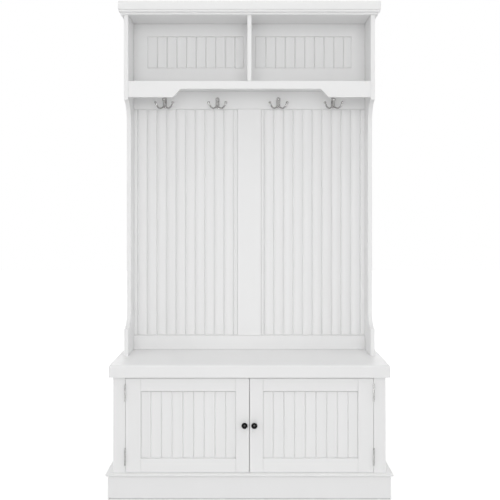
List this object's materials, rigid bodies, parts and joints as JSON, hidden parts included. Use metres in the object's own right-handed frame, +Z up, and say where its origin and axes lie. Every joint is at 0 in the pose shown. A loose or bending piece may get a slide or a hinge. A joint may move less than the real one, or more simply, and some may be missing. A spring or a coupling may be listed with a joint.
{
  "type": "hall tree with hooks",
  "caption": "Tall entryway hall tree: a cabinet bench with hinged doors, a beadboard back with coat hooks, and open cubbies under a moulded crown.",
  "frame": {"origin": "on the floor under the middle of the bounding box", "axes": "+Z up, -Y towards the front, +X to the right of someone facing the front"},
  "size_m": [1.0242, 0.449, 1.82],
  "materials": {
    "carcass_paint": "satin white paint on MDF",
    "door_paint": "satin white paint on MDF",
    "hook_nickel": "satin nickel",
    "knob_black": "satin black",
    "hinge_steel": "satin nickel plated steel",
    "catch_plastic": "matt white plastic"
  },
  "bodies": {
    "carcass": {"apron": "carcass_paint", "back_bottom_rail": "carcass_paint", "back_centre_stile": "carcass_paint", "base_board_front": "carcass_paint", "base_board_left": "carcass_paint", "base_board_right": "carcass_paint", "beadboard_left": "carcass_paint", "beadboard_right": "carcass_paint", "bench_top": "carcass_paint", "cabinet_back": "carcass_paint", "cabinet_floor": "carcass_paint", "cabinet_side_left": "carcass_paint", "cabinet_side_right": "carcass_paint", "centre_partition": "carcass_paint", "crown_board": "carcass_paint", "crown_moulding_front": "carcass_paint", "crown_moulding_left": "carcass_paint", "crown_moulding_right": "carcass_paint", "cubby_back": "carcass_paint", "cubby_divider": "carcass_paint", "face_bottom_rail": "carcass_paint", "face_stile_left": "carcass_paint", "face_stile_right": "carcass_paint", "front_stretcher": "carcass_paint", "hook_rail": "carcass_paint", "shelf": "carcass_paint", "side_left": "carcass_paint", "side_right": "carcass_paint", "top_panel": "carcass_paint", "hook_1": "hook_nickel", "hook_2": "hook_nickel", "hook_3": "hook_nickel", "hook_4": "hook_nickel", "magnetic_catch": "catch_plastic", "hinge_left_lower_frame_leaf": "hinge_steel", "hinge_left_lower_pin": "hinge_steel", "hinge_left_upper_frame_leaf": "hinge_steel", "hinge_left_upper_pin": "hinge_steel", "hinge_right_lower_frame_leaf": "hinge_steel", "hinge_right_lower_pin": "hinge_steel", "hinge_right_upper_frame_leaf": "hinge_steel", "hinge_right_upper_pin": "hinge_steel"},
    "door_left": {"door_left_hinge_stile": "door_paint", "door_left_meeting_stile": "door_paint", "door_left_top_rail": "door_paint", "door_left_bottom_rail": "door_paint", "door_left_panel": "door_paint", "knob_left": "knob_black", "strike_plate_left": "hinge_steel", "hinge_left_lower_door_leaf": "hinge_steel", "hinge_left_upper_door_leaf": "hinge_steel"},
    "door_right": {"door_right_hinge_stile": "door_paint", "door_right_meeting_stile": "door_paint", "door_right_top_rail": "door_paint", "door_right_bottom_rail": "door_paint", "door_right_panel": "door_paint", "knob_right": "knob_black", "strike_plate_right": "hinge_steel", "hinge_right_lower_door_leaf": "hinge_steel", "hinge_right_upper_door_leaf": "hinge_steel"}
  },
  "joints": [
    {"name": "door_left_hinge", "type": "hinge", "parent": "carcass", "child": "door_left", "pos_m": [-0.44425, -0.2025, 0.2645], "axis": [0, 0, -1], "range_deg": [0, 170]},
    {"name": "door_right_hinge", "type": "hinge", "parent": "carcass", "child": "door_right", "pos_m": [0.44425, -0.2025, 0.2645], "axis": [0, 0, 1], "range_deg": [0, 170]}
  ]
}
